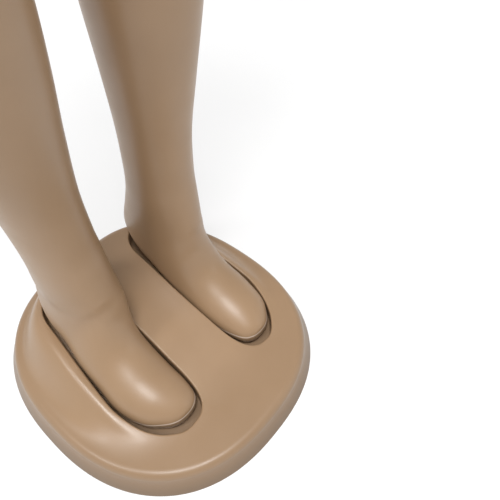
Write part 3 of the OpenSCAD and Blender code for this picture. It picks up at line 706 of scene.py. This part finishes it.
def make_studio():
    scene = bpy.context.scene
    scene.view_settings.view_transform = "Standard"
    world = bpy.data.worlds.new("studio")
    scene.world = world
    world.use_nodes = True
    tree = world.node_tree
    back = tree.nodes["Background"]
    place = tree.nodes.new("ShaderNodeTexCoord")
    axes = tree.nodes.new("ShaderNodeSeparateXYZ")
    tree.links.new(place.outputs["Generated"], axes.inputs[0])
    sky = map_range(tree, axes.outputs["Z"], HORIZON, ZENITH, HORIZON_UP, ZENITH_UP)
    tree.links.new(sky, back.inputs["Color"])
    back.inputs["Strength"].default_value = 1.0
    for light in LIGHTS:
        area_light(*light)
    corners = [(x * FLOOR_REACH, y * FLOOR_REACH, 0) for x, y in ((-1, -1), (1, -1), (1, 1), (-1, 1))]
    floor = mesh_object("floor", corners, [(0, 1, 2, 3)])
    mat, tree, shader = node_material("floor")
    cloud = noise(tree, 3.0)
    colour = colour_ramp(tree, cloud.outputs["Fac"], *[(g, g, g) for g in FLOOR_GREYS])
    tree.links.new(colour, shader.inputs["Base Color"])
    shader.inputs["Roughness"].default_value = 0.9
    shader.inputs["Specular IOR Level"].default_value = 0.1
    shader.inputs["Emission Color"].default_value = (1.0, 1.0, 1.0, 1)
    shader.inputs["Emission Strength"].default_value = FLOOR_GLOW
    floor.data.materials.append(mat)


make_camera()
make_studio()


# ------------------------------------------------------------------ base
def outline_r(angle, inset):
    """Radius of the base's outline about its centre."""
    n = SQUARENESS
    across, along = np.abs(np.cos(angle) / BASE_A), np.abs(np.sin(angle) / BASE_B)
    return (across**n + along**n) ** (-1 / n) - inset


def top_height(x, y):
    """Height of the base's top: level at the rim, with a hill that rises to the heels."""
    dx, dy = x - BASE_X, y - BASE_Y
    rho = np.hypot(dx, dy) / outline_r(np.arctan2(dy, dx), TOP_INSET)
    hill = HEEL_RISE * ramp((y - HILL_Y) / HILL_RUN)
    saddle = SADDLE * np.exp(-((x / SADDLE_REACH) ** 2)) * ramp((y + 60) / 150)
    spread = 0.72 + 0.08 * ramp((y - 50) / 80)      # how far out the hill keeps its full height
    return RIM_H + (hill - saddle) * (1 - ramp((rho - spread) / (1 - spread)))


def well_floor(y):
    """Height of a well's floor along the foot."""
    t = np.linspace(0, len(WELL_FLOOR) - 1, 80)
    curve = station(WELL_FLOOR, t)
    return np.interp(y, curve[:, 0], curve[:, 1])


def well_outline(stance, count=300):
    """Closed outline of a foot well on the figure's left, evenly spaced."""
    rows = station(WELL, np.linspace(0, len(WELL) - 1, 400))
    outer, inner = rows[:, [2, 0]], rows[:, [1, 0]][::-1][1:-1]
    if stance is LEFT:
        outer[:, 0] -= LEFT_WELL_NARROW * ramp((TOES_Y - outer[:, 1]) / TOES_REACH)
    loop = np.concatenate([outer, inner]) + [FOOT_X + stance[0], stance[1]]
    closed = np.concatenate([loop, loop[:1]])
    run = np.concatenate([[0], np.cumsum(np.linalg.norm(np.diff(closed, axis=0), axis=1))])
    at = np.linspace(0, run[-1], count, endpoint=False)
    return np.stack([np.interp(at, run, closed[:, k]) for k in (0, 1)], -1)


WELL_CENTRE = np.array([FOOT_X - 1.0, 24.0])    # the rings of each half of the top run about it


def radial(outline, angles):
    """Distance from the well's centre to an outline along each angle."""
    d = outline - WELL_CENTRE
    a = np.arctan2(d[:, 1], d[:, 0])
    order = np.argsort(a)
    return np.interp(angles, a[order], np.hypot(d[:, 0], d[:, 1])[order], period=2 * np.pi)


def half_edge(angles, side):
    """Where rays from the well's centre leave their half of the top: the mid-line or the rim."""
    d = np.stack([np.cos(angles), np.sin(angles)], -1)
    low, high = np.zeros(len(angles)), np.full(len(angles), 500.0)
    for _ in range(50):
        mid = (low + high) / 2
        p = WELL_CENTRE + d * mid[:, None]
        dx, dy = side * p[:, 0] - BASE_X, p[:, 1] - BASE_Y
        inside = np.hypot(dx, dy) < outline_r(np.arctan2(dy, dx), TOP_INSET)
        low, high = np.where(inside, mid, low), np.where(inside, high, mid)
    with np.errstate(divide="ignore"):
        to_middle = np.where(d[:, 0] < -1e-9, -WELL_CENTRE[0] / d[:, 0], 1e9)
    return np.minimum(low, to_middle)


def base_half(stance, angles, side):
    """Rings of one half of the base's top, from the bottom of the well to the rim."""
    direction = np.stack([np.cos(angles), np.sin(angles)], -1)
    rim = radial(well_outline(stance), angles)
    edge = half_edge(angles, side)
    layers = []

    def layer(distance, height):
        x, y = (WELL_CENTRE + direction * distance[:, None]).T
        layers.append(np.column_stack([side * x, y, height(side * x, y)]))

    def floor(x, y):
        return well_floor(y - stance[1])

    def lip(x, y, gap):
        """Low ridge outside a well, which fades out at its ends."""
        ends = ramp((y + 75) / 70) * (1 - ramp((y - 60) / 70))
        weight = ends * ramp((np.abs(x) - FOOT_X + 10) / 30)
        return LIP * np.exp(-(((gap - LIP_AWAY) / LIP_REACH) ** 2)) * weight

    # the well's floor, and its rounded foot
    for k in (0.02, 0.25, 0.5, 0.75, 0.92):
        layer(rim * k, floor)
    layer(rim - 2.0, floor)
    layer(rim - 0.9, lambda x, y: floor(x, y) + 0.25)
    layer(rim - 0.25, lambda x, y: floor(x, y) + 1.1)
    # its wall
    for k in (0.35, 0.7):
        layer(rim, lambda x, y: floor(x, y) * (1 - k) + (top_height(x, y) - WELL_ROUND) * k)
    # its rounded edge
    for b in np.radians(np.linspace(0, 90, 8)):
        out = WELL_ROUND * (1 - math.cos(b))
        drop = WELL_ROUND * (1 - math.sin(b))
        layer(rim + out, lambda x, y: top_height(x, y) + lip(x, y, out) - drop)
    # the top out to the rim, with closer rings beside the well
    start = rim + WELL_ROUND
    run = edge - start
    close = 16 / 60
    for k in np.concatenate([np.linspace(0, 16, 9)[1:] / 60, np.linspace(close, 1, 24)[1:]]):
        layer(start + run * k, lambda x, y: top_height(x, y) + lip(x, y, WELL_ROUND + run * k))
    return np.array(layers)


def make_base():
    """Base shell: two foot wells in a smooth top, a rounded rim and a hollow underside."""
    d = well_outline((0, 0, 0, 0)) - WELL_CENTRE
    angles = np.arctan2(d[:, 1], d[:, 0])
    # rays to the points where the mid-line meets the rim
    aside = abs(BASE_X / (BASE_A - TOP_INSET)) ** SQUARENESS
    reach = (BASE_B - TOP_INSET) * (1 - aside) ** (1 / SQUARENESS)
    corners = [math.atan2(BASE_Y + s * reach - WELL_CENTRE[1], -WELL_CENTRE[0]) for s in (1, -1)]
    angles = np.unique(np.concatenate([angles, corners]))
    bm = bmesh.new()
    for stance, side in ((LEFT, 1), (RIGHT, -1)):
        layers = base_half(stance, angles, side)
        verts = [bm.verts.new(p) for p in layers.reshape(-1, 3)]
        for f in grid_faces(len(layers), len(angles)) + [tuple(range(len(angles)))]:
            bm.faces.new([verts[i] for i in f])
    bmesh.ops.remove_doubles(bm, verts=bm.verts, dist=2e-3)
    loop = max(ordered_loops([e for e in bm.edges if e.is_boundary]), key=len)
    skirt(bm, loop)
    bmesh.ops.recalc_face_normals(bm, faces=bm.faces)
    bmesh.ops.scale(bm, vec=(MM, MM, MM), verts=bm.verts)
    me = bpy.data.meshes.new("base")
    bm.to_mesh(me)
    bm.free()
    ob = add_object("base", me)
    piece(ob, base_skin_painted_shade, "figure", "base_shell")


def skirt(bm, loop):
    """Rounded rim, leaning wall, foot ring and the closed hollow below."""
    angle = [math.atan2(v.co.y - BASE_Y, v.co.x - BASE_X) for v in loop]
    profile = []
    for b in np.radians(np.linspace(90, 0, 10))[1:]:
        profile.append((DRAFT + ROUND * (1 - math.cos(b)), RIM_H - ROUND + ROUND * math.sin(b)))
    wall = RIM_H - ROUND
    profile += [(DRAFT * k, wall * k) for k in (0.7, 0.35, 0.06)]
    profile += [(0.15, 0.2), (0.6, 0.0), (BASE_WALL - 0.4, 0.0), (BASE_WALL, 0.4)]
    ceiling = PLATE_TOP + 1.5
    profile += [(BASE_WALL + 2.2, ceiling), (BASE_A * 0.6, ceiling)]
    before = loop
    for inset, z in profile:
        ring = []
        for a in angle:
            r = outline_r(a, inset)
            ring.append(bm.verts.new((BASE_X + r * math.cos(a), BASE_Y + r * math.sin(a), z)))
        bridge(bm, before, ring)
        before = ring
    bm.faces.new(before)


make_base()


# ------------------------------------------------------------------ legs
def down_the_leg(side):
    """Direction across the hip's seam: down, and out to the side."""
    return np.array([side * math.sin(HIP_TILT), 0, -math.cos(HIP_TILT)])


def make_leg(name, stance, mirror):
    P = rings(LEG, 0, 26.6, 270, 120)
    P = posed(P, stance) + [FOOT_X, 0, 0]
    ob = loft(name, P, mirror)
    relax(ob, 30, lambda P: 1 - ramp((P[:, 2] - 180) / 60))
    side = -1 if mirror else 1
    down = down_the_leg(side)
    cut(ob, HIP_CENTRE * [side, 1, 1] + down * SEAM / 2, -down)
    piece(ob, leg_skin, "figure", name)


make_leg("left_leg", LEFT, False)
make_leg("right_leg", RIGHT, True)


# ------------------------------------------------------------------ pelvis and torso
def near(z, reach):
    """Weight that is 1 at height z and fades over reach."""
    return lambda P: np.exp(-(((P[:, 2] - z) / reach) ** 2))


def make_pelvis():
    root = rings(LEG, 22.3, 28, 60, 96) + [FOOT_X, 0, 0]
    lofts = [rings(TORSO, 0, 8.4, 80, 128), root, root * [-1, 1, 1]]
    ob = union("pelvis", lofts, BODY_VOXEL, 12)
    relax(ob, 24, near(985, 55), hold=False)
    relax(ob, 10, lambda P: np.exp(-((P[:, 0] / 45) ** 2)), hold=False)
    for side in (1, -1):
        down = down_the_leg(side)
        cut(ob, HIP_CENTRE * [side, 1, 1] - down * SEAM / 2, down)
    cut(ob, (0, 0, WAIST_Z - SEAM / 2), (0, 0, 1))
    piece(ob, skin, "figure", "pelvis_shell")


def make_torso():
    body = sculpt(rings(TORSO, 7.8, 21, 150, 160), BUST)
    arm_root = rings(SHOULDER, 0, 4, 40, 96, sideways=True)
    ob = union("torso", [body, arm_root, arm_root * [-1, 1, 1]], BODY_VOXEL, 10)

    def joins(P):
        """Weight round the places where the shoulders join the chest."""
        return np.exp(-(((np.abs(P[:, 0]) - 85) / 28) ** 2) - ((P[:, 2] - 1400) / 70) ** 2)

    relax(ob, 30, joins, hold=False)
    cut(ob, (0, 0, WAIST_Z + SEAM / 2), (0, 0, -1))
    cut(ob, (0, 0, NECK_Z - SEAM / 2), (0, 0, 1))
    for side in (1, -1):
        cut(ob, (side * (SHOULDER_X - SEAM / 2), 0, 0), (side, 0, 0))
    piece(ob, skin, "figure", "torso_shell")


make_pelvis()
make_torso()


# ------------------------------------------------------------------ arms, hands, head
def make_arm(name, mirror):
    side = -1 if mirror else 1
    ob = loft(name, rings(ARM, 0, 13, 200, 96, sideways=True), mirror)
    cut(ob, (side * (SHOULDER_X + SEAM / 2), 0, 0), (-side, 0, 0))
    flip = np.array([side, 1, 1])
    cut(ob, (WRIST_CENTRE + WRIST_AXIS * SEAM / 2) * flip, -WRIST_AXIS * flip)
    piece(ob, skin, "arm_right" if mirror else "arm_left", name)


def make_hand(name, mirror):
    side = -1 if mirror else 1
    lofts = [rings(PALM, 0, 8, 50, 64), rings(THUMB, 0, 7, 44, 48)]
    lofts += [rings(finger_rows(*f), 0, 8, 60, 40, sideways=True) for f in FINGERS]
    across = np.array([WRIST_AXIS[2], 0, -WRIST_AXIS[0]])
    axes = np.array([across, [0, 1, 0], WRIST_AXIS])
    lofts = [(P @ axes + WRIST_CENTRE) * [side, 1, 1] for P in lofts]
    ob = union(name, lofts, HAND_VOXEL, 8)
    flip = np.array([side, 1, 1])
    cut(ob, (WRIST_CENTRE - WRIST_AXIS * SEAM / 2) * flip, WRIST_AXIS * flip)
    piece(ob, skin, "hand_right" if mirror else "hand_left", name)


def make_head():
    P = sculpt(rings(HEAD, 0, 13, 180, 160), FACE)
    ob = loft("head", P)
    cut(ob, (0, 0, NECK_Z + SEAM / 2), (0, 0, -1))
    piece(ob, skin, "head", "head_shell")


for left in (True, False):
    word = "left" if left else "right"
    make_arm(word + "_arm", not left)
    make_hand(word + "_hand", not left)
make_head()


# ------------------------------------------------------------------ fittings
def dress_fittings():
    """Gives the CAD nodes that stay their own materials."""
    finish = {
        "nylon": nylon(),
        "zinc_steel": plated_steel("zinc_plate", (0.50, 0.52, 0.54), (0.66, 0.67, 0.66), 0.30),
        "steel_plate": plated_steel("rolled_steel", (0.30, 0.31, 0.33), (0.42, 0.42, 0.43), 0.42),
        "rubber": rubber(),
        "skin_plastic": skin,
    }
    for s in frame["record"]["subparts"]:
        ob = NODES[s["node"]]
        ob.data.materials.clear()
        ob.data.materials.append(finish[s["material_slot"]])


dress_fittings()
